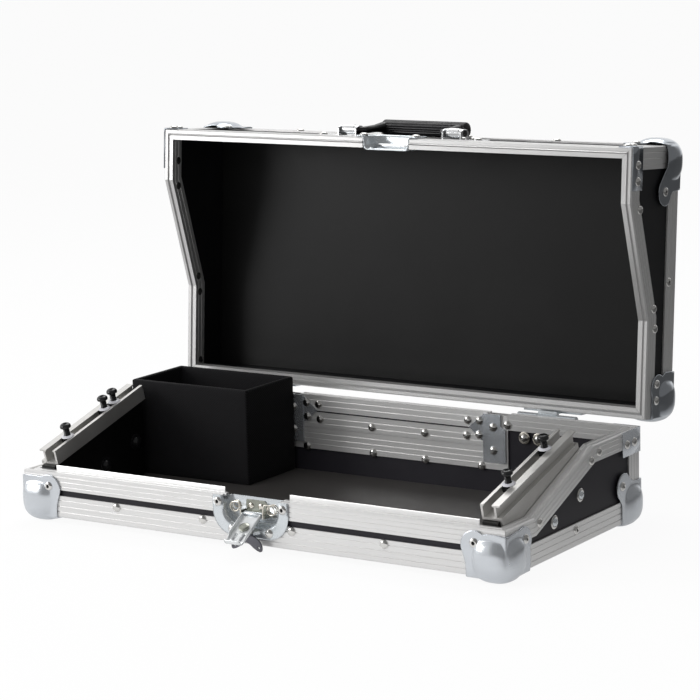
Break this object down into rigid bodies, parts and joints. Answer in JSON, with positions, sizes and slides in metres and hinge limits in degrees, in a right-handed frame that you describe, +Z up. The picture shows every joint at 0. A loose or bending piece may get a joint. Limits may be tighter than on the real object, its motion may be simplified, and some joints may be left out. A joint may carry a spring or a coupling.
{
  "type": "lighting controller case",
  "caption": "Wedge-fronted flight case for a rack-width controller: laminated boards, aluminium edging, ball corners, sloping slotted rails, cable flap, latch and an opening lid.",
  "frame": {"origin": "bottom centre of the bounding box with the lid open, on the surface that the four lower ball corners stand on", "axes": "+X to the right along the front, +Y from the front to the hinged rear, +Z up"},
  "size_m": [0.5262, 0.3686, 0.3523],
  "materials": {
    "laminate_board": "satin phenolic film on birch plywood",
    "aluminium_edging": "extruded, clear anodised, fine grooves",
    "zinc_plate": "pressed steel, bright zinc plate",
    "chrome_bracket": "polished",
    "dark_steel": "dark plated steel",
    "spring_wire": "yellow passivated spring wire",
    "black_screw": "black plated screws and cup washers",
    "grip_rubber": "ribbed, matt",
    "box_fabric": "black ribbed lining cloth over foam board"
  },
  "bodies": {
    "base": {"base_front_panel": "laminate_board", "base_rear_panel": "laminate_board", "base_floor_panel": "laminate_board", "base_left_panel": "laminate_board", "base_right_panel": "laminate_board", "base_edge_frame": "aluminium_edging", "base_front_rim_left": "aluminium_edging", "base_front_rim_right": "aluminium_edging", "base_rear_rim_left": "aluminium_edging", "base_rear_rim_right": "aluminium_edging", "base_left_rim": "aluminium_edging", "base_right_rim": "aluminium_edging", "base_ball_corner_front_left": "zinc_plate", "base_ball_corner_rear_left": "zinc_plate", "base_ball_corner_front_right": "zinc_plate", "base_ball_corner_rear_right": "zinc_plate", "rack_rail_left": "aluminium_edging", "rail_board_left": "laminate_board", "rack_rail_right": "aluminium_edging", "rail_board_right": "laminate_board", "accessory_box": "box_fabric", "hatch_edging": "aluminium_edging", "flap_stop_plate_left": "zinc_plate", "flap_stop_plate_right": "zinc_plate", "base_hinge_leaf_left": "zinc_plate", "base_hinge_leaf_right": "zinc_plate", "latch_dish": "zinc_plate", "latch_spring_left": "spring_wire", "latch_spring_right": "spring_wire"},
    "lid": {"lid_front_panel": "laminate_board", "lid_rear_panel": "laminate_board", "lid_top_panel": "laminate_board", "lid_left_panel": "laminate_board", "lid_right_panel": "laminate_board", "lid_edge_frame": "aluminium_edging", "lid_front_rim_left": "aluminium_edging", "lid_front_rim_right": "aluminium_edging", "lid_rear_rim": "aluminium_edging", "lid_left_rim": "aluminium_edging", "lid_right_rim": "aluminium_edging", "lid_ball_corner_front_left": "zinc_plate", "lid_ball_corner_rear_left": "zinc_plate", "lid_ball_corner_front_right": "zinc_plate", "lid_ball_corner_rear_right": "zinc_plate", "lid_hinge_leaf_left": "zinc_plate", "lid_hinge_leaf_right": "zinc_plate", "latch_keeper": "zinc_plate", "handle_bracket_left": "chrome_bracket", "handle_bracket_right": "chrome_bracket"},
    "cable_flap": {"flap_edging": "aluminium_edging", "flap_board": "laminate_board"},
    "latch_arm": {"latch_arm": "zinc_plate"},
    "latch_wing": {"latch_wing": "dark_steel"},
    "handle": {"handle_rod": "dark_steel", "handle_grip": "grip_rubber"},
    "rack_screw_left_1": {"rack_screw_left_1": "black_screw"},
    "rack_screw_left_2": {"rack_screw_left_2": "black_screw"},
    "rack_screw_left_3": {"rack_screw_left_3": "black_screw"},
    "rack_screw_right_1": {"rack_screw_right_1": "black_screw"},
    "rack_screw_right_2": {"rack_screw_right_2": "black_screw"}
  },
  "joints": [
    {"name": "lid_hinge", "type": "hinge", "parent": "base", "child": "lid", "pos_m": [0, 0.10044, 0.08644], "axis": [1, 0, 0], "range_deg": [0, 94.4]},
    {"name": "flap_hinge", "type": "hinge", "parent": "base", "child": "cable_flap", "pos_m": [0, 0.09654, 0.05849], "axis": [-1, 0, 0], "range_deg": [0, 170]},
    {"name": "latch_arm_swing", "type": "hinge", "parent": "base", "child": "latch_arm", "pos_m": [0, -0.14986, 0.03354], "axis": [-1, 0, 0], "range_deg": [0, 118], "stiffness_Nm_per_rad": 0.02, "springref_deg": -20.05},
    {"name": "latch_wing_fold", "type": "hinge", "parent": "latch_arm", "child": "latch_wing", "pos_m": [0, -0.16225, 0.02068], "axis": [-1, 0, 0], "range_deg": [-20, 58]},
    {"name": "handle_swing", "type": "hinge", "parent": "lid", "child": "handle", "pos_m": [0, 0.11307, 0.34584], "axis": [1, 0, 0], "range_deg": [0, 95]},
    {"name": "rack_screw_left_1_slide", "type": "slide", "parent": "base", "child": "rack_screw_left_1", "axis": [0, 0.9634, 0.2682], "range_m": [-0.018, 0.042]},
    {"name": "rack_screw_left_2_slide", "type": "slide", "parent": "base", "child": "rack_screw_left_2", "axis": [0, 0.9634, 0.2682], "range_m": [-0.042, 0]},
    {"name": "rack_screw_left_3_slide", "type": "slide", "parent": "base", "child": "rack_screw_left_3", "axis": [0, 0.9634, 0.2682], "range_m": [0, 0.028]},
    {"name": "rack_screw_right_1_slide", "type": "slide", "parent": "base", "child": "rack_screw_right_1", "axis": [0, 0.9634, 0.2682], "range_m": [-0.026, 0.048]},
    {"name": "rack_screw_right_2_slide", "type": "slide", "parent": "base", "child": "rack_screw_right_2", "axis": [0, 0.9634, 0.2682], "range_m": [-0.048, 0.028]}
  ]
}
